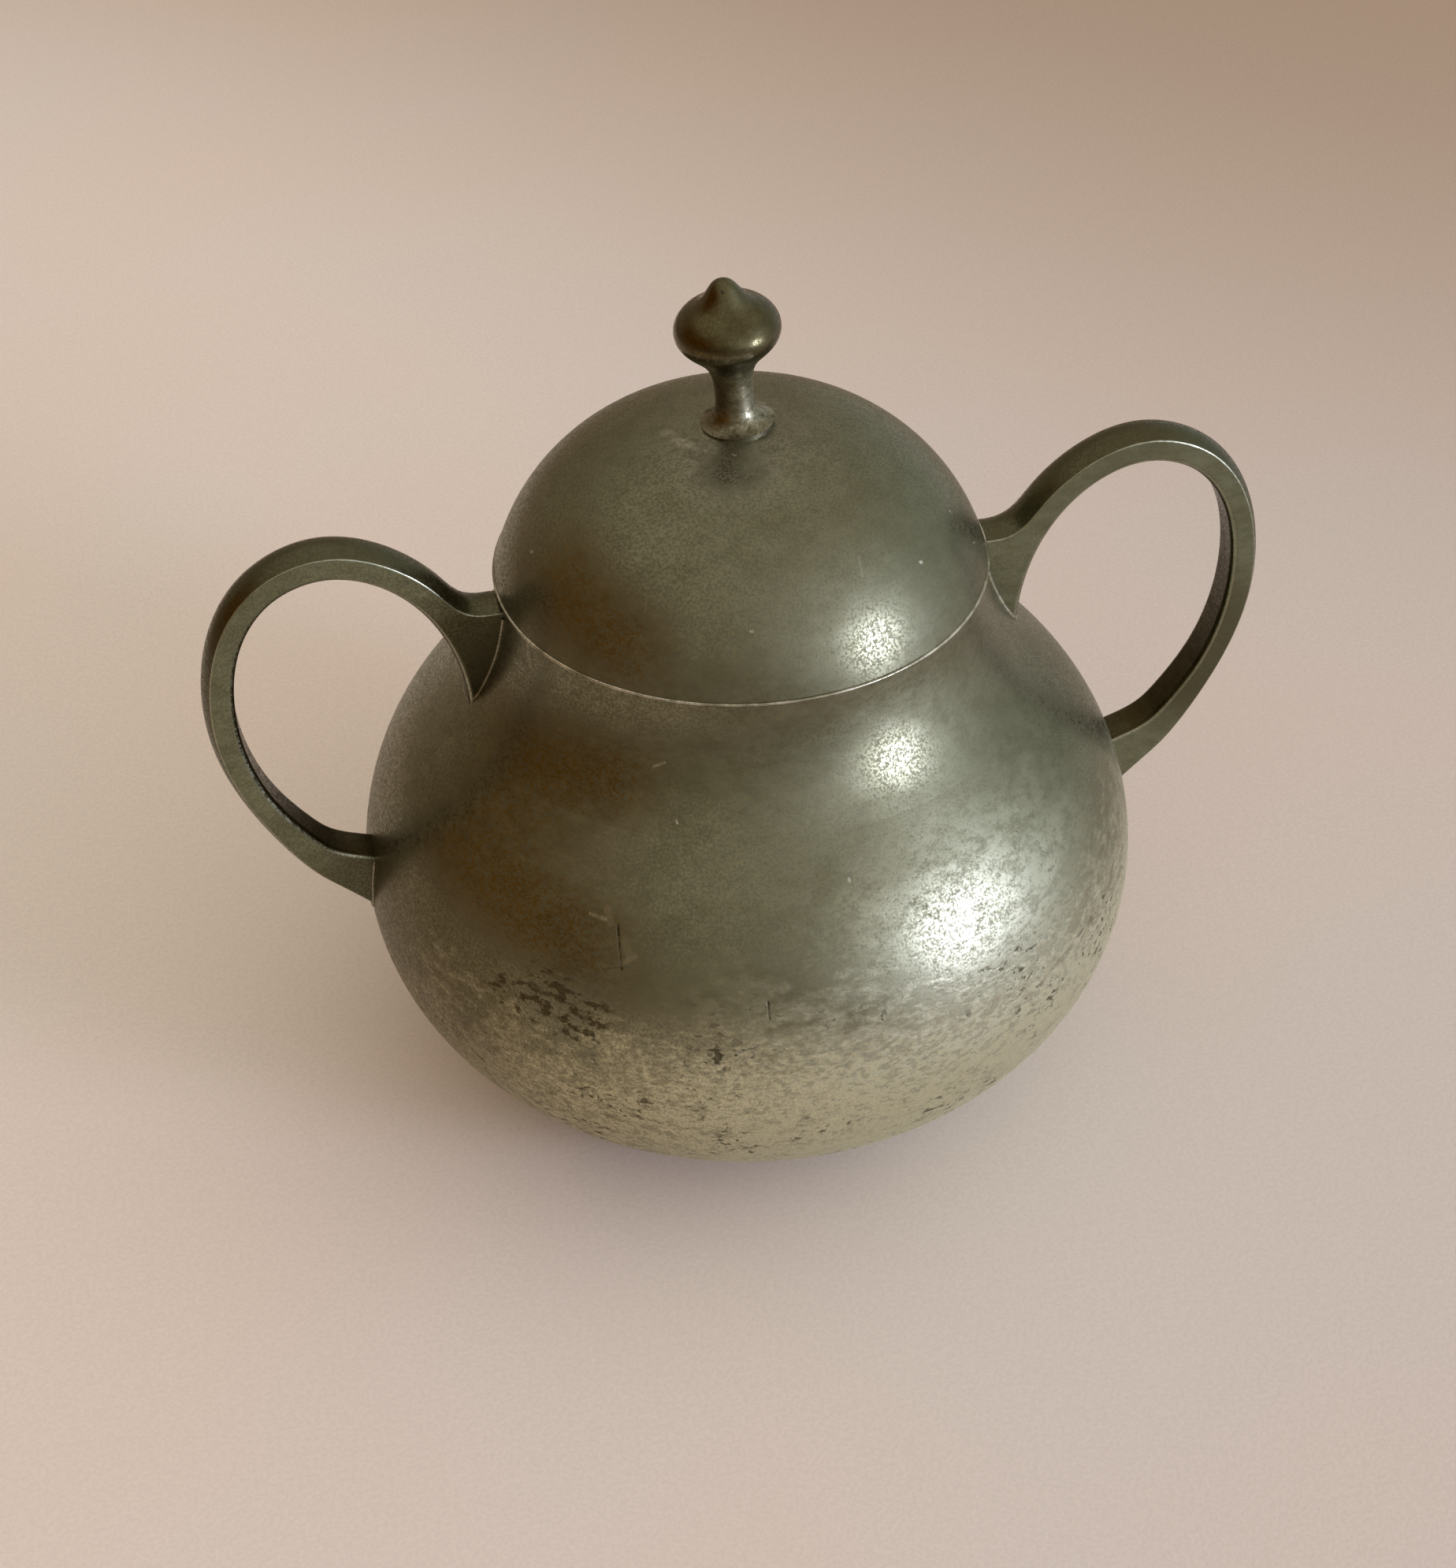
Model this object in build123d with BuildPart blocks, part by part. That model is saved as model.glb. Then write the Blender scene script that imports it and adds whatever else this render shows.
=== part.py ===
from build123d import *
from math import atan2, cos, degrees, radians, sin, sqrt
import os

# Covered pewter pot with two strap handles: a squat round body drawn in to a neck, and a lift-off
# domed lid with a turned finial. Millimetres, +Z up, handles along X, origin at the centre of the
# resting face.

# Body, as turned on the lathe
belly_radius = 60.0
belly_height = 36.5
base_radius = 23.0
bowl_round_share = 0.3
shoulder_out_share = 0.577
shoulder_up_share = 0.508
neck_run_share = 0.27
rim_radius = 36.4
rim_height = 88.4
body_wall = 1.5
floor_thickness = 2.2
rim_wall = 1.8
rim_rounding = 0.35

# Disc let into the base, over the hole that the lathe's mandrel needs
disc_radius = 16.0
disc_thickness = 1.0
disc_ledge_width = 1.2
disc_rise = 0.4
solder_gap = 0.05

# Lid and the locating ring inside it
lid_overhang = 0.3
dome_radius = 31.5
dome_first_angle = 15.0
dome_last_angle = 80.0
lid_wall = 1.4
lid_edge_rounding = 0.45
bezel_wall = 1.1
bezel_depth = 5.0
bezel_clearance = 0.4
bezel_lead = 0.3

# Finial, measured up its own axis from the top of the dome, with its axis leaning to -X
finial_lean = 4.4
foot_radius = 5.4
foot_edge = 0.4
foot_depth = 0.9
foot_flare_radius = 3.5
foot_flare_height = 1.8
neck_radius = 2.8
neck_height = 4.8
neck_top_radius = 3.7
neck_top_height = 9.85
bulb_low_radius = 5.15
bulb_low_height = 11.65
bulb_side_radius = 7.42
bulb_side_height = 14.3
bulb_top_radius = 4.8
bulb_top_height = 19.35
bulb_top_slope = 0.5
nipple_foot_radius = 2.73
nipple_foot_height = 21.23
nipple_radius = 1.81
nipple_height = 22.53
finial_height = 23.4

# Stud, washer and nut that hold the finial
stud_radius = 1.5
stud_grip = 8.0
stud_end = 1.2
thread_clearance = 0.04
hole_clearance = 0.15
washer_radius = 4.5
washer_thickness = 0.8
nut_flat_radius = 2.75
nut_sides = 6
nut_thickness = 2.2

# Handles, cast flat with a strap section
handle_stand_off = 20.1
handle_crest = 12.1
handle_root_lift = 0.5
strap_width = 6.3
strap_thickness = 3.2
strap_crown = 1.2
crown_spring = 0.18
crown_sink = 0.3
back_rounding = 0.3
inner_rounding = 1.0
step_drop = 1.5
step_length = 2.2
gusset_drop = 18.4
gusset_reach = 6.1
root_wedge_height = 7.9
wedge_slope = 0.5

# The outer edge of the strap from the step to the root: how far out between the rim and the span,
# and how high, as a share of the crest over the rim, or of the drop to the root where it is minus
strap_path_shares = [
    (0.21, 0.26),
    (0.34, 0.7),
    (0.577, 1.0),
    (0.82, 0.669),
    (1.0, -0.228),
    (0.905, -0.592),
    (0.72, -0.852),
]
# How far along that edge, and how thick the strap is there against its even thickness
strap_thickness_shares = [
    (0.09, 1.15),
    (0.17, 1.12),
    (0.25, 1.14),
    (0.35, 1.08),
    (0.45, 1.05),
    (0.55, 1.07),
    (0.65, 1.05),
    (0.75, 1.03),
    (0.83, 1.25),
    (0.87, 1.45),
]

# One overrun serves every cut that passes right through, and half a turn sets the second handle
overrun = 5.0
half_turn = 180.0

# Worked out from the sizes above
bowl_round_radius = bowl_round_share * belly_radius
bowl_half_width = belly_radius - bowl_round_radius
flat_share = (base_radius - bowl_round_radius) / bowl_half_width
bowl_depth = belly_height / sqrt(1 - flat_share**2)
shoulder_in = (1 - shoulder_out_share) * (belly_radius - rim_radius)
shoulder_up = shoulder_up_share * (rim_height - belly_height)
shoulder_turn = 2 * degrees(atan2(shoulder_in, shoulder_up))
shoulder_radius = shoulder_in / (1 - cos(radians(shoulder_turn)))
neck_run = neck_run_share * (rim_height - belly_height - shoulder_up) / cos(radians(shoulder_turn))
mouth_radius = rim_radius - rim_wall
lid_radius = rim_radius + lid_overhang
dome_centre_radius = lid_radius - dome_radius * cos(radians(dome_first_angle))
dome_centre_height = rim_height - dome_radius * sin(radians(dome_first_angle))
crown_reach = dome_centre_radius + dome_radius * cos(radians(dome_last_angle))
crown_radius = crown_reach / cos(radians(dome_last_angle))
crown_rim_height = dome_centre_height + dome_radius * sin(radians(dome_last_angle))
crown_centre_height = crown_rim_height - crown_radius * sin(radians(dome_last_angle))
dome_top_height = crown_centre_height + crown_radius
bezel_radius = mouth_radius - bezel_clearance
handle_span_radius = belly_radius + handle_stand_off
handle_top_height = rim_height + handle_crest
handle_root_height = belly_height + handle_root_lift
gusset_foot_height = rim_height - gusset_drop
handle_reach = handle_span_radius - rim_radius
handle_drop = rim_height - handle_root_height
step_height = rim_height - step_drop
stud_drop = lid_wall + washer_thickness + nut_thickness + stud_end

os.makedirs("parts", exist_ok=True)


def half_plane(height, upwards):
    """Everything in the half section that lies over a height, or under it."""
    with BuildSketch() as block:
        with Locations((0, height)):
            side = Align.MIN if upwards else Align.MAX
            Rectangle(handle_span_radius, handle_top_height + overrun, align=(Align.MIN, side))
    return block.sketch


def body_section(inset, mouth_inset):
    """Half section of the turned body, drawn in by inset, and by mouth_inset at the rim."""
    with BuildSketch() as section:
        with BuildLine():
            bowl = EllipticalCenterArc(
                (bowl_round_radius, belly_height),
                bowl_half_width - inset,
                bowl_depth - inset,
                start_angle=-90,
                arc_size=90,
            )
            shoulder = JernArc(bowl @ 1, (0, 1), shoulder_radius - inset, shoulder_turn)
            run = Line(shoulder @ 1, shoulder @ 1 + shoulder % 1 * neck_run)
            rim_point = (rim_radius - mouth_inset, rim_height)
            neck = TangentArc(run @ 1, rim_point, tangent=run % 1)
            Polyline(neck @ 1, (0, rim_height), (0, (bowl @ 0).Y), bowl @ 0)
        make_face()
    return section.sketch


def bowl_hollow():
    """Half section of the body's inside, with a flat floor over the resting face."""
    with BuildSketch() as section:
        add(body_section(body_wall, rim_wall))
        add(half_plane(floor_thickness, False), mode=Mode.SUBTRACT)
    return section.sketch


def dome_section(inset):
    """Half section of the lid's dome, drawn in by inset, down to the rim."""
    with BuildSketch() as section:
        with BuildLine():
            centre = (dome_centre_radius, dome_centre_height)
            side = CenterArc(centre, dome_radius - inset, 0, dome_last_angle)
            crown_centre = (0, crown_centre_height)
            crown = CenterArc(crown_centre, crown_radius - inset, dome_last_angle, 90 - dome_last_angle)
            Polyline(crown @ 1, (0, dome_centre_height), side @ 0)
        make_face()
        add(half_plane(rim_height, False), mode=Mode.SUBTRACT)
    return section.sketch


# Lower half of the body: a casting with its mandrel hole, rebated for the disc
with BuildPart() as lower_bowl:
    with BuildSketch(Plane.XZ):
        add(body_section(0, 0))
        add(bowl_hollow(), mode=Mode.SUBTRACT)
        add(half_plane(belly_height, True), mode=Mode.SUBTRACT)
        add(half_plane(0, False), mode=Mode.SUBTRACT)
        Rectangle(disc_radius, disc_rise + disc_thickness, align=Align.MIN, mode=Mode.SUBTRACT)
        Rectangle(disc_radius - disc_ledge_width, belly_height, align=Align.MIN, mode=Mode.SUBTRACT)
    revolve(axis=Axis.Z)
lower_bowl.part.label = "lower_bowl"
export_step(lower_bowl.part, "parts/lower_bowl.step")

# Disc soldered in against the rebate, a little above the resting face
with BuildPart() as base_disc:
    with BuildSketch(Plane.XY.offset(disc_rise)):
        Circle(disc_radius - solder_gap)
    extrude(amount=disc_thickness)
base_disc.part.label = "base_disc"
export_step(base_disc.part, "parts/base_disc.step")

# Upper half of the body: shoulder, neck and thickened rim, soldered to the lower half at the belly
with BuildPart() as upper_bowl:
    with BuildSketch(Plane.XZ):
        add(body_section(0, 0))
        add(bowl_hollow(), mode=Mode.SUBTRACT)
        add(half_plane(belly_height, False), mode=Mode.SUBTRACT)
    revolve(axis=Axis.Z)
    rim_edges = upper_bowl.edges().group_by(Axis.Z)[-1].sort_by(SortBy.RADIUS)
    fillet(rim_edges[-1], radius=rim_rounding)
upper_bowl.part.label = "upper_bowl"
export_step(upper_bowl.part, "parts/upper_bowl.step")

# The body as one filled form, which the handles' roots are cut to
with BuildPart() as body_form:
    with BuildSketch(Plane.XZ):
        add(body_section(0, 0))
    revolve(axis=Axis.Z)


def strap_point(share):
    """Point of the strap's outer edge in the handle's own plane."""
    out, up = share
    height = up * handle_crest if up > 0 else up * handle_drop
    return (rim_radius + out * handle_reach, rim_height + height)


def strap_back(plane):
    """Outer edge of the strap on a plane: a flat step at the rim, then the bow down to the belly."""
    with BuildLine(plane) as back:
        Line((mouth_radius, step_height), (rim_radius + step_length, step_height))
        root = (belly_radius - body_wall, handle_root_height - body_wall)
        Spline(
            [
                (rim_radius + step_length, step_height),
                *[strap_point(share) for share in strap_path_shares],
                root,
            ],
            tangents=[(1, 0), (-1, -1)],
        )
    return back.line


def handle_outline():
    """Side view of the handle, running on into the body at the rim, the shoulder and the belly."""
    back = strap_back(Plane.XY)
    bow = back.edges().filter_by(GeomType.BSPLINE)[0]
    wedge_end = (belly_radius - 2 * body_wall, handle_root_height + root_wedge_height)
    with BuildSketch() as outline:
        with BuildLine():
            add(back)
            hollow = Spline(
                [
                    (rim_radius + gusset_reach, gusset_foot_height),
                    *[
                        bow @ along + (bow % along).rotate(Axis.Z, -90) * strap_thickness * thick
                        for along, thick in strap_thickness_shares
                    ],
                    wedge_end,
                ],
                tangents=[(0, 1), (-1, -wedge_slope)],
                tangent_scalars=(1, 1),
            )
            Line(bow @ 1, hollow @ 1)
            Polyline(hollow @ 0, (mouth_radius, gusset_foot_height), (mouth_radius, step_height))
        make_face()
    return outline.sketch


# One handle before it is fitted: flat sides, soft inner edges, and a crowned back with soft edges
with BuildPart() as handle_form:
    with BuildSketch(Plane.XZ.offset(-strap_width / 2)):
        add(handle_outline())
    extrude(amount=strap_width)
    inner_edges = handle_form.edges().filter_by(GeomType.BSPLINE).sort_by(SortBy.LENGTH)
    fillet(inner_edges[:2], radius=inner_rounding)
    with BuildSketch(Plane((mouth_radius, 0, step_height), x_dir=(0, 1, 0), z_dir=(1, 0, 0))):
        with BuildLine():
            crown_ends = (-strap_width / 2, crown_spring), (strap_width / 2, crown_spring)
            crown = ThreePointArc(crown_ends[0], (0, strap_crown), crown_ends[1])
            sunk = (strap_width / 2, -crown_sink), (-strap_width / 2, -crown_sink)
            Polyline(crown @ 1, *sunk, crown @ 0)
        crown_face = make_face()
        fillet(crown_face.vertices().group_by(Axis.Y)[-1], radius=back_rounding)
    sweep(path=strap_back(Plane.XZ))

# Handles, cast flat and soldered on at the rim, down the shoulder and at the belly
with BuildPart() as handle_right:
    add(handle_form.part)
    add(body_form.part, mode=Mode.SUBTRACT)
handle_right.part.label = "handle_right"
export_step(handle_right.part, "parts/handle_right.step")

with BuildPart() as handle_left:
    add(handle_form.part.rotate(Axis.Z, half_turn))
    add(body_form.part, mode=Mode.SUBTRACT)
handle_left.part.label = "handle_left"
export_step(handle_left.part, "parts/handle_left.step")

# The lid's outside as one filled form, and the leaning frame of the finial and its fastening
with BuildPart() as lid_form:
    with BuildSketch(Plane.XZ):
        add(dome_section(0))
    revolve(axis=Axis.Z)

finial_foot = Plane.XY.offset(dome_top_height).rotated((0, -finial_lean, 0))
finial_side = Plane(origin=finial_foot.origin, x_dir=finial_foot.x_dir, z_dir=-finial_foot.y_dir)
finial_axis = Axis(finial_foot.origin, finial_foot.z_dir)

# Lid: a raised shell with a flat seat on the rim and a hole for the stud
with BuildPart() as lid_dome:
    with BuildSketch(Plane.XZ):
        add(dome_section(0))
        add(dome_section(lid_wall), mode=Mode.SUBTRACT)
    revolve(axis=Axis.Z)
    seat_edges = lid_dome.edges().group_by(Axis.Z)[0].sort_by(SortBy.RADIUS)
    fillet(seat_edges[-1], radius=lid_edge_rounding)
    with BuildSketch(finial_foot):
        Circle(stud_radius + hole_clearance)
    extrude(amount=overrun, both=True, mode=Mode.SUBTRACT)
lid_dome.part.label = "lid_dome"
export_step(lid_dome.part, "parts/lid_dome.step")

# Ring soldered inside the lid, which drops into the mouth and keeps the lid from sliding off
with BuildPart() as lid_bezel:
    with BuildSketch(Plane.XZ):
        add(dome_section(lid_wall))
        with Locations((0, rim_height)):
            Rectangle(bezel_radius, bezel_depth, align=(Align.MIN, Align.MAX))
        with Locations((0, rim_height - bezel_depth)):
            Rectangle(bezel_radius - bezel_wall, dome_radius, align=Align.MIN, mode=Mode.SUBTRACT)
        with Locations((bezel_radius, rim_height - bezel_depth)):
            Rectangle(dome_radius, dome_radius, align=Align.MIN, mode=Mode.SUBTRACT)
    revolve(axis=Axis.Z)
    lead_edges = lid_bezel.edges().group_by(Axis.Z)[0].sort_by(SortBy.RADIUS)
    chamfer(lead_edges[-1], length=bezel_lead)
lid_bezel.part.label = "lid_bezel"
export_step(lid_bezel.part, "parts/lid_bezel.step")

# Finial: flared foot seated on the dome, waisted neck and onion bulb with a nipple, drilled for the stud
with BuildPart() as finial:
    with BuildSketch(finial_side):
        with BuildLine():
            flare = Spline(
                (foot_radius, foot_edge),
                (foot_flare_radius, foot_flare_height),
                (neck_radius, neck_height),
                tangents=[(-1, foot_edge), (0, 1)],
            )
            knob = Spline(
                flare @ 1,
                (neck_top_radius, neck_top_height),
                (bulb_low_radius, bulb_low_height),
                (bulb_side_radius, bulb_side_height),
                (bulb_top_radius, bulb_top_height),
                tangents=[(0, 1), (-1, bulb_top_slope)],
            )
            nipple = Spline(
                knob @ 1,
                (nipple_foot_radius, nipple_foot_height),
                (nipple_radius, nipple_height),
                (0, finial_height),
                tangents=[(-1, bulb_top_slope), (-1, 0)],
            )
            Polyline(nipple @ 1, (0, -foot_depth), (foot_radius, -foot_depth), flare @ 0)
        make_face()
    revolve(axis=finial_axis)
    with BuildSketch(finial_foot):
        Circle(stud_radius + thread_clearance)
    extrude(amount=stud_grip, both=True, mode=Mode.SUBTRACT)
    add(lid_form.part, mode=Mode.SUBTRACT)
finial.part.label = "finial"
export_step(finial.part, "parts/finial.step")

# Stud screwed home into the finial, long enough for the washer and the nut
with BuildPart() as finial_stud:
    with BuildSketch(finial_foot.offset(-stud_drop)):
        Circle(stud_radius)
    extrude(amount=stud_drop + stud_grip)
finial_stud.part.label = "finial_stud"
export_step(finial_stud.part, "parts/finial_stud.step")

# Washer pressed to the underside of the dome
with BuildPart() as finial_washer:
    with BuildSketch(finial_foot.offset(-lid_wall - washer_thickness)):
        Circle(washer_radius)
        Circle(stud_radius + hole_clearance, mode=Mode.SUBTRACT)
    extrude(amount=washer_thickness + lid_wall / 2)
    add(lid_dome.part, mode=Mode.SUBTRACT)
finial_washer.part.label = "finial_washer"
export_step(finial_washer.part, "parts/finial_washer.step")

# Hexagon nut under the washer
with BuildPart() as finial_nut:
    with BuildSketch(finial_foot.offset(-lid_wall - washer_thickness - nut_thickness)):
        RegularPolygon(radius=nut_flat_radius, side_count=nut_sides, major_radius=False)
        Circle(stud_radius + thread_clearance, mode=Mode.SUBTRACT)
    extrude(amount=nut_thickness)
finial_nut.part.label = "finial_nut"
export_step(finial_nut.part, "parts/finial_nut.step")
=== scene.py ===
import math

import bmesh
import bpy
from mathutils import Matrix, Vector


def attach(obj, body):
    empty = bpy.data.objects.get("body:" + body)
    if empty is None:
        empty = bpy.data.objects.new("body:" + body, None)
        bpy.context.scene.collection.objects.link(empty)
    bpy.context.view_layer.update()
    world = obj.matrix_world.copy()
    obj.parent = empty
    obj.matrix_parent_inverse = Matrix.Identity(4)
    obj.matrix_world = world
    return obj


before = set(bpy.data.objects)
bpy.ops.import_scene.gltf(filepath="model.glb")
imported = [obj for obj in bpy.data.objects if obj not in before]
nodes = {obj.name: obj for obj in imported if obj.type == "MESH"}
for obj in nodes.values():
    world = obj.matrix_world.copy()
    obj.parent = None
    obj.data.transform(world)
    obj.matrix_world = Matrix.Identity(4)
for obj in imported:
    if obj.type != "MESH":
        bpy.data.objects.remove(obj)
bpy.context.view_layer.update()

# The camera: held half a metre off and looking down on the pot, turned a degree and a half out of
# level. It stands where the pot's ellipses and handles in the picture say that it stood.
picture_width, picture_height = 1848, 1990
focal_pixels = 4088.4
film_width = 36
nearest_seen = 0.01
camera_fall = math.radians(38.16)
camera_roll = math.radians(1.52)
handle_turn = math.radians(12.02)
camera_place = Vector((-0.00276, -0.39664, 0.35764))


def put_in(name, data):
    """A new object with its data, put in the scene."""
    made = bpy.data.objects.new(name, data)
    bpy.context.scene.collection.objects.link(made)
    return made


camera_data = bpy.data.cameras.new("camera")
camera_data.sensor_width = film_width
camera_data.lens = film_width * focal_pixels / max(picture_width, picture_height)
camera_data.clip_start = nearest_seen
camera = put_in("camera", camera_data)
camera.matrix_world = (
    Matrix.Rotation(-handle_turn, 4, "Z")
    @ Matrix.Translation(camera_place)
    @ Matrix.Rotation(math.pi / 2 - camera_fall, 4, "X")
    @ Matrix.Rotation(-camera_roll, 4, "Z")
)
bpy.context.scene.camera = camera
bpy.context.scene.view_settings.view_transform = "Standard"

# The room: even soft light from above, a window to the right of the camera with a cool glow round
# it, something brown to the left of the pot, and walls of other tones between them. Directions are
# in degrees from the front towards +X, and heights are shares from level (0) to overhead (1).
wall = (0.56, 0.5, 0.42, 1)
ceiling = (0.72, 0.66, 0.58, 1)
ceiling_start, ceiling_full = 0.15, 0.9
# Each side of the room: its direction, half its width, how soft its edges are, the heights over
# which it comes in from above, and its colour.
tall, short = (0.75, 0.45), (0.42, 0.15)
room_sides = (
    (-165, 35, 30, tall, (0.38, 0.31, 0.22, 1)),
    (100, 42, 26, tall, (0.58, 0.62, 0.6, 1)),
    (-20, 24, 16, short, (0.36, 0.31, 0.21, 1)),
    (-86, 38, 10, tall, (0.25, 0.105, 0.0, 1)),
)
window_turn = math.radians(48)
window_rise = math.radians(9)
window_distance = 1.2
window_width, window_height = 0.3, 0.34
window_power = 7.4
window_colour = (0.86, 0.94, 1.3)
window_aim = Vector((0, 0, 0.06))
glow_colour = (0.52, 0.58, 0.75, 1)
glow_edge, glow_middle = math.radians(54), math.radians(9)


def add_node(tree, kind, inputs=(), **settings):
    """A shader node with its settings, and its inputs given as values or as sockets to join."""
    made = tree.nodes.new("ShaderNode" + kind)
    for name, value in settings.items():
        setattr(made, name, value)
    for name, value in dict(inputs).items():
        if isinstance(value, bpy.types.NodeSocket):
            tree.links.new(value, made.inputs[name])
        else:
            made.inputs[name].default_value = value
    return made


def sum_of(tree, operation, first, second=0.0, third=0.0):
    """The result of one sum on numbers or sockets."""
    return add_node(tree, "Math", {0: first, 1: second, 2: third}, operation=operation).outputs[0]


def ramp_between(tree, value, low, high, start=0.0, end=1.0):
    """A number that goes smoothly from start to end while value goes from low to high."""
    inputs = {"Value": value, "From Min": low, "From Max": high, "To Min": start, "To Max": end}
    return add_node(tree, "MapRange", inputs, interpolation_type="SMOOTHSTEP").outputs[0]


def tint(tree, share, first, second, blend="MIX"):
    """The first colour turned into the second by a share from 0 to 1."""
    inputs = {0: share, 6: first, 7: second}
    return add_node(tree, "Mix", inputs, data_type="RGBA", blend_type=blend).outputs[2]


def part_of(tree, vector, axis):
    """One of a vector's three numbers."""
    return add_node(tree, "SeparateXYZ", {0: vector}).outputs[axis]


def scaled(tree, vector, factors):
    """A vector with each number times a factor of its own."""
    return add_node(tree, "VectorMath", {0: vector, 1: factors}, operation="MULTIPLY").outputs[0]


def along(tree, vector, direction):
    """How far a vector reaches along a direction."""
    made = add_node(tree, "VectorMath", {0: vector, 1: direction}, operation="DOT_PRODUCT")
    return made.outputs["Value"]


world =bpy.data.worlds.new("room")
bpy.context.scene.world = world
world.use_nodes = True
room = world.node_tree
room.nodes.clear()
way = add_node(room, "TexCoord").outputs["Generated"]
height = part_of(room, way, "Z")
level_way = scaled(room, way, (1, 1, 0))
level_way = add_node(room, "VectorMath", {0: level_way}, operation="NORMALIZE").outputs[0]


def side_of_room(degrees, half_width, soft):
    """How far a level direction lies in a sector, counted from the front towards +X."""
    turn = math.radians(degrees)
    inwards = along(room, level_way, (math.sin(turn), -math.cos(turn), 0))
    outer = math.cos(math.radians(half_width + soft))
    inner = math.cos(math.radians(max(half_width - soft, 0)))
    return ramp_between(room, inwards, outer, inner)


light = tint(room, ramp_between(room, height, ceiling_start, ceiling_full), wall, ceiling)
for direction, half_width, soft, rise, colour in room_sides:
    low_down = ramp_between(room, height, *rise)
    share = sum_of(room, "MULTIPLY", side_of_room(direction, half_width, soft), low_down)
    light = tint(room, share, light, colour)

window_way = Vector(
    (
        math.cos(window_rise) * math.sin(window_turn),
        -math.cos(window_rise) * math.cos(window_turn),
        math.sin(window_rise),
    )
)
towards = along(room, way, window_way)
near_window = ramp_between(room, towards, math.cos(glow_edge), math.cos(glow_middle))
light = tint(room, near_window, light, glow_colour, "ADD")
shine = add_node(room, "Background", {"Color": light, "Strength": 1.0})
add_node(room, "OutputWorld", {"Surface": shine.outputs[0]})

window_data = bpy.data.lights.new("window", "AREA")
window_data.shape = "RECTANGLE"
window_data.size = window_width
window_data.size_y = window_height
window_data.energy = window_power
window_data.color = window_colour
window = put_in("window", window_data)
window.matrix_world = Matrix.Translation(
    window_aim + window_distance * window_way
) @ window_way.to_track_quat("Z", "Y").to_matrix().to_4x4()

# The sheet of paper under the pot: pale pinkish buff, faintly clouded and fibrous. It is cooler to
# the right, browner in the far corner and to the far left, paler to the left and darker to the right
# as painted light and shade, and painted in soft shade in front of the pot.
paper_half_width = 6.0
paper_drop = 0.0001
paper_pink = (0.87, 0.74, 0.64, 1)
paper_buff = (0.85, 0.75, 0.67, 1)
paper_clouds = 7.0
paper_fibres = 1500.0
fibre_relief = 0.0001
to_right = Vector((math.cos(handle_turn), -math.sin(handle_turn), 0))
to_back = Vector((math.sin(handle_turn), math.cos(handle_turn), 0))
to_corner = to_right * 0.55 + to_back * 0.83
# Each tone of the paper: the way it lies, how far off it starts and is full, its most, its colour.
paper_tones = (
    (to_corner, 0.12, 0.42, 1.0, (0.52, 0.39, 0.29, 1)),
    (to_right, 0.2, 0.34, 1.0, (0.9, 0.94, 0.94, 1)),
    (to_right, -0.26, -0.42, 0.8, (0.3, 0.17, 0.07, 1)),
    # Painted shade in front of the pot.
    (to_back, -0.2, -0.32, 0.58, (0.22, 0.18, 0.13, 1)),
)


def blank_material(name):
    """A material that has no nodes yet, and its node tree."""
    made = bpy.data.materials.new(name)
    made.use_nodes = True
    made.node_tree.nodes.clear()
    return made, made.node_tree


def noise_on(tree, spot, scale, detail=2.0, rough=0.5):
    """An even noise pattern on the piece, about 0.3 to 0.7."""
    inputs = {"Vector": spot, "Scale": scale, "Detail": detail, "Roughness": rough}
    return add_node(tree, "TexNoise", inputs).outputs[0]


paper, tree = blank_material("paper")
spot = add_node(tree, "TexCoord").outputs["Object"]
clouds = noise_on(tree, spot, paper_clouds)
fibres = noise_on(tree, spot, paper_fibres)
colour = tint(tree, ramp_between(tree, clouds, 0.35, 0.65), paper_pink, paper_buff)
# Painted light and shade: paler to the left and darker to the right.
sideways = ramp_between(tree, along(tree, spot, to_right), -0.16, 0.18, 1.1, 0.86)
colour = tint(tree, 1.0, colour, sideways, "MULTIPLY")
for direction, start, full, most, tone in paper_tones:
    share = ramp_between(tree, along(tree, spot, direction), start, full, 0.0, most)
    colour = tint(tree, share, colour, tone)
grain = ramp_between(tree, fibres, 0.3, 0.7, 0.94, 1.0)
colour = tint(tree, 1.0, colour, grain, "MULTIPLY")
bump = add_node(tree, "Bump", {"Height": fibres, "Strength": 0.3, "Distance": fibre_relief})
inputs = {"Base Color": colour, "Roughness": 0.9, "Specular IOR Level": 0.2}
surface = add_node(tree, "BsdfPrincipled", {**inputs, "Normal": bump.outputs[0]})
add_node(tree, "OutputMaterial", {"Surface": surface.outputs[0]})

sheet = bmesh.new()
bmesh.ops.create_grid(sheet, x_segments=1, y_segments=1, size=paper_half_width)
bmesh.ops.translate(sheet, verts=sheet.verts, vec=(0, 0, -paper_drop))
sheet_mesh = bpy.data.meshes.new("paper")
sheet.to_mesh(sheet_mesh)
sheet.free()
sheet_mesh.materials.append(paper)
put_in("paper", sheet_mesh)

# The body: two pewter castings turned and soldered at the belly, gone dark olive with age and
# rubbed paler low down where it is handled, with pitted patches, fine scratches and a few nicks. The
# paler metal to the right and round the belly's highlight is partly painted light, and the belly is
# browner in painted shade low on the left.
# How fine each pattern of the metal is, in pattern widths to the metre:
cloud_fineness = 60.0
patch_fineness = 75.0
mottle_fineness = 260.0
hair_fineness = 420.0
stain_fineness = 440.0
fleck_fineness = 780.0
pit_fineness = 900.0
grain_fineness = 2600.0
# Turned work is marked round and round, so some patterns are squeezed upright by these factors.
level_squeeze = (1, 1, 1.9)
hair_squeeze = (1, 1, 9)
relief_height = 0.00004
pit_colour = (0.07, 0.052, 0.022, 1)
cut_colour = (0.05, 0.042, 0.025, 1)
# Pale marks are nicks, apart from a few that are painted highlights or reflections.
nick_and_highlight_colour = (0.6, 0.58, 0.46, 1)
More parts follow.
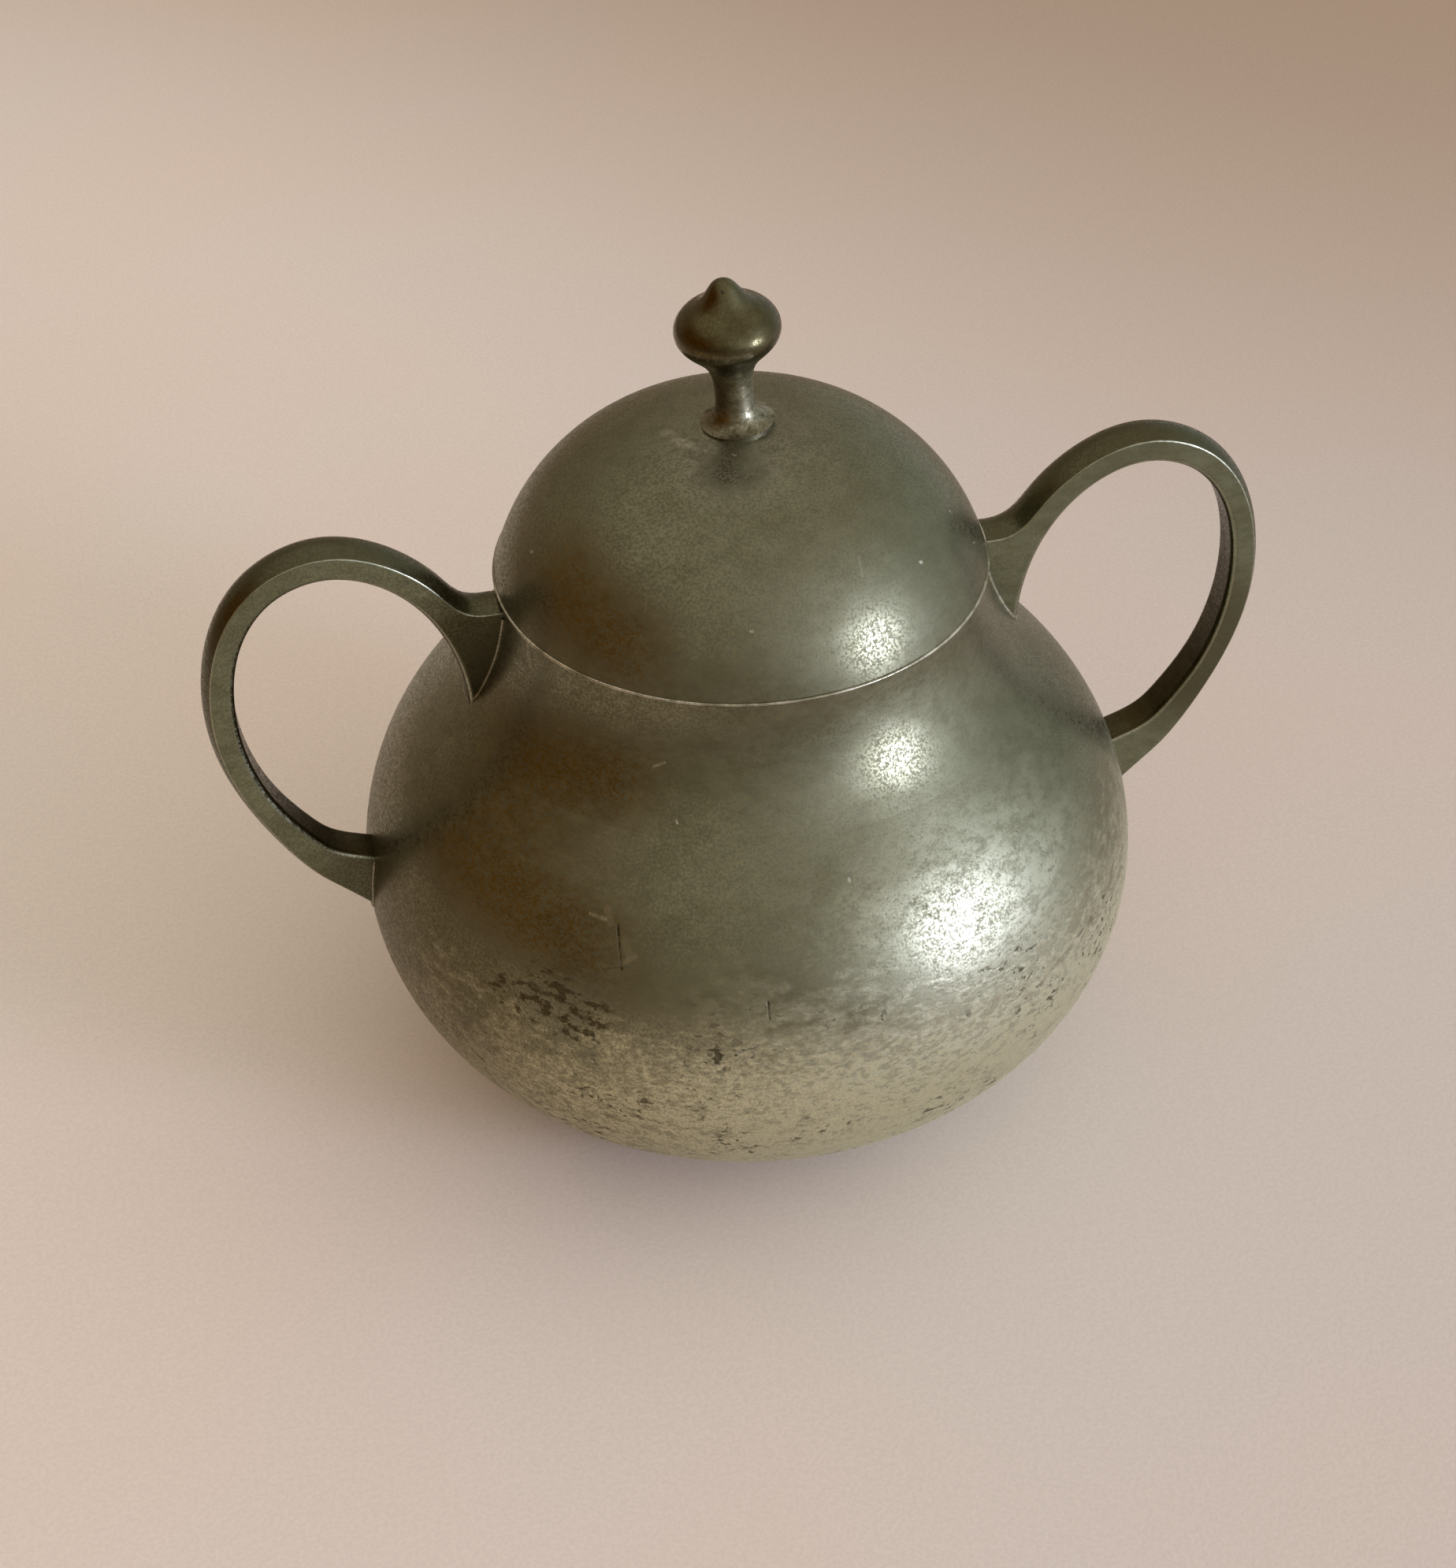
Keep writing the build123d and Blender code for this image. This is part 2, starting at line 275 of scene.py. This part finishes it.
# On the body: the way up across the slanted edge of the wear, the way to the right, the middle of
# a rubbed patch round the belly's highlight that is partly a painted highlight, and the worn metal's
# colours, the one to the right paler and cooler in part as painted light from the window side.
across_wear = (-0.193, 0.052, 1.0)
right_side = (0.79, -0.61, 0)
rubbed_and_highlit_patch = (0.027, -0.05, 0.047)
worn_left = (0.48, 0.445, 0.285, 1)
worn_and_lit_right = (0.58, 0.575, 0.41, 1)


def gap_to(tree, spot, place):
    """How far a spot lies from a place."""
    made = add_node(tree, "VectorMath", {0: spot, 1: place}, operation="DISTANCE")
    return made.outputs["Value"]


def strayed(tree, value, pattern, reach):
    """A value moved up and down by an even pattern, so that its edge is uneven."""
    return sum_of(tree, "MULTIPLY_ADD", sum_of(tree, "SUBTRACT", pattern, 0.5), reach, value)


def near_line(tree, spot, first, last, width):
    """One close to the line between two places, and none beyond a width from it."""
    run = last - first
    away = add_node(tree, "VectorMath", {0: spot, 1: first}, operation="SUBTRACT").outputs[0]
    share = add_node(tree, "Clamp", {0: along(tree, away, run / run.length_squared)}).outputs[0]
    foot = add_node(tree, "VectorMath", {0: run, "Scale": share}, operation="SCALE").outputs[0]
    return ramp_between(tree, gap_to(tree, away, foot), width, width * 0.35)


def seen_at(right, down):
    """The place on the pot that shows at a spot of the picture, in its pixels from the top left."""
    way = Vector((right - picture_width / 2, picture_height / 2 - down, -focal_pixels))
    way = (camera.matrix_world.to_3x3() @ way).normalized()
    start = camera.matrix_world.translation
    found = [node.ray_cast(start, way) for node in nodes.values()]
    places = [place for hit, place, _, _ in found if hit]
    return min(places, key=lambda place: (place - start).length)


def pewter(
    name,
    dark,
    light,
    worn,
    wear=None,
    rub_and_highlight=None,
    painted_shade=None,
    shade_colour=(0.078, 0.062, 0.028, 1),
    roughness=0.36,
    relief=1.0,
    marks=(),
    stained=(),
):
    """Old pewter: a clouded dark skin with fine grain, and paler patches and pits where it is worn.

    wear, rub and shade each give a share over the piece; the rub also carries a painted highlight,
    and the shade share is painted shade. worn is a colour, or gives one over the piece. Each mark is
    two spots in the picture, a width, a strength, and whether it is pale, as nicks and a few painted
    highlights and reflections are, or a dark cut. Stains crowd along the lines in stained, each two
    spots in the picture and a width.
    """
    finish, tree = blank_material(name)
    coordinates = add_node(tree, "TexCoord")
    spot, normal = coordinates.outputs["Object"], coordinates.outputs["Normal"]
    level = scaled(tree, spot, level_squeeze)
    clouds = noise_on(tree, spot, cloud_fineness, 4.0, 0.55)
    mottle = noise_on(tree, level, mottle_fineness, 5.0, 0.62)
    flecks = noise_on(tree, level, fleck_fineness, 4.0, 0.6)
    hairs = noise_on(tree, scaled(tree, spot, hair_squeeze), hair_fineness, 3.0, 0.55)
    grain = noise_on(tree, spot, grain_fineness, 2.0, 0.6)

    # The dark skin, and the pale metal that shows through it in patches.
    worn = worn(tree, spot) if callable(worn) else worn
    wear_share = wear(tree, spot, clouds, mottle) if wear else 0.0
    patchy = ramp_between(tree, sum_of(tree, "ADD", mottle, flecks), 0.84, 1.1, 0.42, 1.0)
    pale = sum_of(tree, "MULTIPLY", wear_share, patchy)
    wear_share = sum_of(tree, "MINIMUM", wear_share, 1.0)
    cloudy = ramp_between(tree, sum_of(tree, "ADD", clouds, mottle), 0.8, 1.2)
    skin = tint(tree, pale, tint(tree, cloudy, dark, light), worn)

    # Pits and dark stains lie close together in some patches of the worn part.
    stains = noise_on(tree, level, stain_fineness, 3.0, 0.55)
    crowded = ramp_between(tree, noise_on(tree, spot, patch_fineness), 0.48, 0.6)
    by_lines = [
        near_line(tree, spot, seen_at(*first), seen_at(*last), width)
        for first, last, width in stained
    ]
    for by_line in by_lines:
        stains = sum_of(tree, "MULTIPLY_ADD", by_line, 0.065, stains)
        crowded = sum_of(tree, "MAXIMUM", crowded, by_line)
    stains = sum_of(tree, "MULTIPLY", ramp_between(tree, stains, 0.58, 0.66), crowded)
    pits = ramp_between(tree, noise_on(tree, spot, pit_fineness), 0.62, 0.7)
    pits = sum_of(tree, "MULTIPLY", pits, sum_of(tree, "MULTIPLY_ADD", crowded, 0.8, 0.2))
    pits = sum_of(tree, "MULTIPLY", sum_of(tree, "MAXIMUM", pits, stains), wear_share)
    for by_line in by_lines:
        pits = sum_of(tree, "MAXIMUM", pits, sum_of(tree, "MULTIPLY", by_line, stains))
    skin = tint(tree, sum_of(tree, "MULTIPLY", pits, 0.82), skin, pit_colour)
    skin = tint(tree, 1.0, skin, ramp_between(tree, grain, 0.3, 0.7, 0.84, 1.16), "MULTIPLY")
    skin = tint(tree, ramp_between(tree, hairs, 0.64, 0.8, 0.0, 0.03), skin, worn)

    # The skin is broken into shiny and dull flakes under a millimetre across.
    flakes = sum_of(tree, "MULTIPLY_ADD", flecks, 0.4, grain)
    dull = ramp_between(tree, flakes, 0.56, 0.84, roughness + 0.12, roughness - 0.13)
    dull = sum_of(tree, "MULTIPLY_ADD", wear_share, 0.12, dull)
    dull = sum_of(tree, "MULTIPLY_ADD", pits, 0.2, dull)
    # Painted shade, tinted in by its share.
    if painted_shade:
        skin = tint(tree, painted_shade(tree, normal, spot, mottle), skin, shade_colour)
    # Rubbed edges: paler, shinier metal that also carries a painted highlight.
    if rub_and_highlight:
        rubbed_and_highlit = rub_and_highlight(tree, normal, spot, mottle)
        skin = tint(tree, sum_of(tree, "MULTIPLY", rubbed_and_highlit, 0.8), skin, worn)
        dull = sum_of(tree, "MULTIPLY_ADD", rubbed_and_highlit, -0.06, dull)

    # The relief is deeper where the metal is worn, and sinks in the pits and the marks.
    height = sum_of(tree, "MULTIPLY_ADD", flecks, 0.75, sum_of(tree, "MULTIPLY", grain, 0.3))
    height = sum_of(tree, "MULTIPLY_ADD", mottle, 0.7, height)
    rougher = sum_of(tree, "MULTIPLY_ADD", wear_share, 0.7 * relief, 0.48 * relief)
    height = sum_of(tree, "MULTIPLY", height, rougher)
    height = sum_of(tree, "MULTIPLY_ADD", pits, -0.9, height)
    for first, last, width, strength, is_pale in marks:
        mark = near_line(tree, spot, seen_at(*first), seen_at(*last), width)
        mark = sum_of(tree, "MULTIPLY", mark, ramp_between(tree, flecks, 0.4, 0.58, 0.35, 1.0))
        stroke = nick_and_highlight_colour if is_pale else cut_colour
        skin = tint(tree, sum_of(tree, "MULTIPLY", mark, strength), skin, stroke)
        height = sum_of(tree, "MULTIPLY_ADD", mark, -1.5 * strength, height)
    bump = add_node(tree, "Bump", {"Height": height, "Strength": 1.0, "Distance": relief_height})
    inputs = {"Base Color": skin, "Metallic": 1.0, "Roughness": dull, "Normal": bump.outputs[0]}
    surface = add_node(tree, "BsdfPrincipled", inputs)
    add_node(tree, "OutputMaterial", {"Surface": surface.outputs[0]})
    return finish


def dress(names, finish):
    """Gives the solids of these names their material."""
    for name in names:
        nodes[name].material_slots[0].material = finish


def body_wear_and_light(tree, spot, clouds, mottle):
    """Full wear under a slanted, uneven line, fading longer at the right, and a rubbed patch round
    the belly's highlight; the paler metal at the right and in the patch is partly painted light.
    """
    line = strayed(tree, along(tree, spot, across_wear), mottle, 0.045)
    line = strayed(tree, line, clouds, 0.035)
    low = ramp_between(tree, line, 0.05, 0.037)
    rise = strayed(tree, part_of(tree, spot, "Z"), mottle, 0.05)
    gradual = ramp_between(tree, rise, 0.06, 0.026, 0.0, 1.6)
    right = ramp_between(tree, along(tree, spot, right_side), 0.0, 0.03)
    low = sum_of(tree, "MULTIPLY", low, sum_of(tree, "SUBTRACT", 1.0, right))
    low = sum_of(tree, "MULTIPLY_ADD", gradual, right, low)
    away = strayed(tree, gap_to(tree, spot, rubbed_and_highlit_patch), clouds, 0.03)
    return sum_of(tree, "MAXIMUM", low, ramp_between(tree, away, 0.034, 0.01, 0.0, 0.5))


def body_worn_and_lit(tree, spot):
    """Worn metal, yellowish to the left and a paler, greener grey to the right, towards the window,
    which is partly painted light.
    """
    right = ramp_between(tree, along(tree, spot, right_side), -0.005, 0.04)
    return tint(tree, right, worn_left, worn_and_lit_right)


def body_left_shade(tree, normal, spot, mottle):
    """Painted shade: browner and darker low on the belly where it faces left, away from the window.
    """
    left = ramp_between(tree, part_of(tree, normal, "X"), -0.6, -0.9)
    low = ramp_between(tree, part_of(tree, spot, "Z"), 0.058, 0.046)
    uneven = ramp_between(tree, mottle, 0.35, 0.6, 0.35, 0.65)
    return sum_of(tree, "MULTIPLY", sum_of(tree, "MULTIPLY", left, low), uneven)


body_pewter = pewter(
    "body_pewter",
    dark=(0.155, 0.148, 0.088, 1),
    light=(0.192, 0.186, 0.117, 1),
    worn=body_worn_and_lit,
    wear=body_wear_and_light,
    painted_shade=body_left_shade,
    shade_colour=(0.09, 0.062, 0.015, 1),
    roughness=0.4,
    marks=(
        ((784, 1174), (789, 1230), 0.0003, 0.9, False),
        ((764, 1229), (797, 1227), 0.0002, 0.35, False),
        ((792, 1222), (806, 1214), 0.0006, 0.22, True),
        ((750, 1159), (769, 1166), 0.0004, 0.4, True),
        ((771, 1152), (776, 1172), 0.0007, 0.14, True),
        ((794, 1192), (799, 1212), 0.0008, 0.12, True),
        ((975, 1272), (977, 1293), 0.00028, 0.9, False),
        ((1078, 1115), (1079, 1119), 0.0003, 0.8, True),
        ((859, 1041), (860, 1044), 0.0003, 0.7, True),
        ((830, 973), (844, 968), 0.00025, 0.5, True),
        ((1228, 1285), (1230, 1289), 0.0006, 0.8, False),
    ),
    stained=(
        ((640, 1255), (735, 1300), 0.006),
        ((690, 1235), (760, 1290), 0.004),
        ((893, 1340), (905, 1345), 0.004),
    ),
)
dress(("lower_bowl", "upper_bowl", "base_disc"), body_pewter)

# The handles: pewter cast flat, with soft inner edges and a crowned back, soldered on at the rim,
# down the shoulder and at the belly. Their edges are rubbed pale and carry a painted highlight, and
# their outer and inner faces and their feet are darkened with painted shade, most of all inside the
# bows.
bow_out = 0.058
bow_height = 0.073
# Each foot of a handle darkened with painted shade: its place, how far the shade reaches, and its
# most.
shaded_feet = (
    ((-0.0405, -0.003, 0.08), 0.015, 0.8),
    ((-0.06, -0.003, 0.039), 0.014, 0.6),
    ((0.069, -0.003, 0.062), 0.02, 0.6),
)


def handle_rub_and_highlight(tree, normal, spot, mottle):
    """The soft edges of the strap, rubbed paler by hands and cloths, which also carry a painted
    highlight.
    """
    flatness = sum_of(tree, "ABSOLUTE", part_of(tree, normal, "Y"))
    flat = ramp_between(tree, flatness, 0.88, 0.99)
    edge = sum_of(tree, "SUBTRACT", ramp_between(tree, flatness, 0.66, 0.78), flat)
    return sum_of(tree, "MULTIPLY", edge, ramp_between(tree, mottle, 0.35, 0.6, 0.6, 0.8))


def handle_shade(tree, normal, spot, mottle):
    """Painted shade: dark brown on the outer and inner faces, most of all inside the bows, and round
    the feet.
    """
    flatness = sum_of(tree, "ABSOLUTE", part_of(tree, normal, "Y"))
    faces = ramp_between(tree, flatness, 0.82, 0.68, 0.0, 0.72)
    sideways = part_of(tree, spot, "X")
    facing_out = sum_of(tree, "MULTIPLY", sum_of(tree, "SIGN", sideways), part_of(tree, normal, "X"))
    out = sum_of(tree, "SUBTRACT", sum_of(tree, "ABSOLUTE", sideways), bow_out)
    out = sum_of(tree, "MULTIPLY", out, facing_out)
    up = sum_of(tree, "SUBTRACT", part_of(tree, spot, "Z"), bow_height)
    up = sum_of(tree, "MULTIPLY", up, part_of(tree, normal, "Z"))
    inside = ramp_between(tree, sum_of(tree, "ADD", out, up), -0.001, -0.004, 1.0, 1.38)
    share = sum_of(tree, "MULTIPLY", faces, inside)
    for place, reach, most in shaded_feet:
        near = ramp_between(tree, gap_to(tree, spot, place), reach, reach * 0.4, 0.0, most)
        share = sum_of(tree, "MAXIMUM", share, near)
    return sum_of(tree, "MULTIPLY", share, ramp_between(tree, mottle, 0.35, 0.6, 0.85, 1.0))


handle_pewter = pewter(
    "handle_pewter",
    dark=(0.155, 0.16, 0.096, 1),
    light=(0.2, 0.212, 0.134, 1),
    worn=(0.42, 0.41, 0.3, 1),
    rub_and_highlight=handle_rub_and_highlight,
    painted_shade=handle_shade,
    shade_colour=(0.052, 0.038, 0.014, 1),
    roughness=0.36,
    relief=0.8,
)
dress(("handle_left", "handle_right"), handle_pewter)

# The solder: a soft, paler metal run along the feet of the handles, where they meet the turned
# body, and left as thin beads. On each side one bead goes down and round the foot on the shoulder,
# and one goes all round the foot on the belly.
right_bead, left_bead = 0.00048, 0.00036
half_strap = 0.00315
shoulder_heights = (0.0862, 0.083, 0.08, 0.077, 0.0745, 0.0727)
shoulder_end, shoulder_end_steps = 0.0716, (-0.0022, 0.0, 0.0022)
belly_heights = (0.0444, 0.0415, 0.0385, 0.0362)
belly_low, belly_high, belly_steps = 0.0355, 0.0452, (-0.002, 0.0, 0.002)
beyond_body = 0.2


def on_body(side, y, z):
    """The point of the body's outside at a place across and up, on the +X or the -X side."""
    start = Vector((side * beyond_body, y, z))
    for bowl in ("upper_bowl", "lower_bowl"):
        hit, place, _, _ = nodes[bowl].ray_cast(start, Vector((-side, 0, 0)))
        if hit and side * place.x > 0:
            return place
    raise ValueError("no body there")


def solder_bead(name, path, thickness, finish, closed):
    """A run of solder along a path, which ends in flat caps or closes on itself."""
    line = bpy.data.curves.new(name, "CURVE")
    line.dimensions = "3D"
    line.bevel_depth = thickness
    line.bevel_resolution = 3
    line.resolution_u = 6
    line.use_fill_caps = True
    run = line.splines.new("NURBS")
    run.points.add(len(path) - 1)
    for point, place in zip(run.points, path):
        point.co = (*place, 1)
    run.use_cyclic_u = closed
    run.use_endpoint_u = not closed
    run.order_u = 3
    drawn = put_in(name, line)
    depth = bpy.context.evaluated_depsgraph_get()
    mesh = bpy.data.meshes.new_from_object(drawn.evaluated_get(depth))
    bpy.data.objects.remove(drawn)
    for face in mesh.polygons:
        face.use_smooth = True
    mesh.materials.clear()
    mesh.materials.append(finish)
    bead = put_in(name, mesh)
    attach(bead, "pot")


def solder_left_shade(tree, normal, spot, mottle):
    """Painted shade: the solder of the left handle, away from the window, is browner than that of the
    right one.
    """
    return ramp_between(tree, part_of(tree, spot, "X"), 0.01, -0.01, 0.0, 0.6)


solder = pewter(
    "solder",
    dark=(0.24, 0.225, 0.15, 1),
    light=(0.46, 0.44, 0.34, 1),
    worn=(0.55, 0.52, 0.42, 1),
    painted_shade=solder_left_shade,
    roughness=0.32,
)
for side, word, bead_thickness in ((1, "right", right_bead), (-1, "left", left_bead)):
    path = [on_body(side, -half_strap, z) for z in shoulder_heights]
    path += [on_body(side, y, shoulder_end) for y in shoulder_end_steps]
    path += [on_body(side, half_strap, z) for z in reversed(shoulder_heights)]
    solder_bead("solder_shoulder_" + word, path, bead_thickness, solder, False)
    ring = [on_body(side, -half_strap, z) for z in belly_heights]
    ring += [on_body(side, y, belly_low) for y in belly_steps]
    ring += [on_body(side, half_strap, z) for z in reversed(belly_heights)]
    ring += [on_body(side, y, belly_high) for y in reversed(belly_steps)]
    solder_bead("solder_belly_" + word, ring, bead_thickness, solder, True)

# The lid: a raised pewter dome, and a ring soldered inside it that finds the mouth. A pale crescent
# by the finial is a painted highlight, on the rim of the dome where the finial's foot presses it in.
finial_foot = (-0.001, -0.002, 0.112)


def lid_wear(tree, spot, clouds, mottle):
    """A duller, slightly paler ring round the foot of the finial."""
    return ramp_between(tree, gap_to(tree, spot, finial_foot), 0.016, 0.008, 0.0, 0.22)


lid_pewter = pewter(
    "lid_pewter",
    dark=(0.158, 0.151, 0.091, 1),
    light=(0.184, 0.178, 0.112, 1),
    worn=(0.36, 0.34, 0.25, 1),
    wear=lid_wear,
    roughness=0.41,
    relief=0.6,
    marks=(
        # The first two pale strokes, by the finial's foot, are the painted highlight.
        ((845, 548), (868, 563), 0.0013, 0.22, True),
        ((868, 563), (902, 572), 0.0012, 0.28, True),
        ((1168, 714), (1170, 714), 0.00035, 0.9, True),
        ((931, 577), (933, 578), 0.0003, 0.8, True),
        ((954, 801), (956, 801), 0.0003, 0.7, True),
        ((1090, 708), (1095, 732), 0.00022, 0.14, True),
        ((819, 777), (822, 757), 0.00022, 0.12, True),
        ((924, 582), (938, 600), 0.009, 0.13, True),
        ((1205, 648), (1207, 650), 0.0003, 0.6, True),
        ((674, 700), (676, 700), 0.0003, 0.6, True),
        ((1235, 689), (1237, 689), 0.0003, 0.6, True),
    ),
)
dress(("lid_dome", "lid_bezel"), lid_pewter)

# The lip: the narrow edge of the lid, turned with the dome and burnished bright where it has
# rubbed on the rim of the body.
lip_radius = 0.0366
lip_height = 0.0886
lip_thickness = 0.00027
lip_colour = (0.66, 0.63, 0.52, 1)
lip_metal = pewter(
    "lip_metal",
    dark=(0.24, 0.225, 0.15, 1),
    light=lip_colour,
    worn=lip_colour,
    roughness=0.32,
)
ring = bmesh.new()
bmesh.ops.create_circle(ring, segments=12, radius=lip_thickness)
bmesh.ops.rotate(ring, verts=ring.verts, matrix=Matrix.Rotation(math.pi / 2, 3, "X"))
bmesh.ops.translate(ring, verts=ring.verts, vec=(lip_radius, 0, lip_height))
bmesh.ops.spin(
    ring,
    geom=ring.verts[:] + ring.edges[:],
    axis=(0, 0, 1),
    cent=(0, 0, 0),
    steps=360,
    angle=2 * math.pi,
    use_merge=True,
)
bmesh.ops.recalc_face_normals(ring, faces=ring.faces)
for face in ring.faces:
    face.smooth = True
lip_mesh = bpy.data.meshes.new("lid_lip")
ring.to_mesh(lip_mesh)
ring.free()
lip_mesh.materials.append(lip_metal)
lid_lip = put_in("lid_lip", lip_mesh)
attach(lid_lip, "lid")

# The finial: cast and turned pewter, darker than the lid, with a shinier skin from being held. It
# leans a little, and it stands on the dome with a stud screwed up into its foot.
neck_top, neck_paler = 0.1245, 0.121


def finial_paler_neck(tree, spot, clouds, mottle):
    """Paler on the neck and the foot, below the bulb."""
    return ramp_between(tree, part_of(tree, spot, "Z"), neck_top, neck_paler, 0.0, 0.8)


def finial_far_shade(tree, normal, spot, mottle):
    """Painted shade: browner on the side that faces away from the window."""
    return ramp_between(tree, part_of(tree, normal, "X"), 0.0, -0.7, 0.0, 0.6)


finial_pewter = pewter(
    "finial_pewter",
    dark=(0.08, 0.066, 0.03, 1),
    light=(0.12, 0.108, 0.056, 1),
    worn=(0.34, 0.32, 0.22, 1),
    wear=finial_paler_neck,
    painted_shade=finial_far_shade,
    shade_colour=(0.075, 0.05, 0.016, 1),
    roughness=0.3,
    relief=0.6,
    marks=(
        ((915, 370), (917, 372), 0.0003, 0.9, False),
        # The two pale strokes under the bulb are a painted reflection of the pale floor on the ridge
        # there.
        ((878, 452), (925, 459), 0.0009, 0.2, True),
        ((925, 459), (952, 452), 0.0009, 0.2, True),
    ),
)
dress(("finial",), finial_pewter)

# The stud, the washer and the nut: dull yellow brass, turned. They clamp the finial to the dome
# from inside it and show only when the lid is turned over.
fastening_brass = pewter(
    "fastening_brass",
    dark=(0.34, 0.24, 0.09, 1),
    light=(0.55, 0.4, 0.16, 1),
    worn=(0.7, 0.55, 0.28, 1),
)
dress(("finial_stud", "finial_washer", "finial_nut"), fastening_brass)
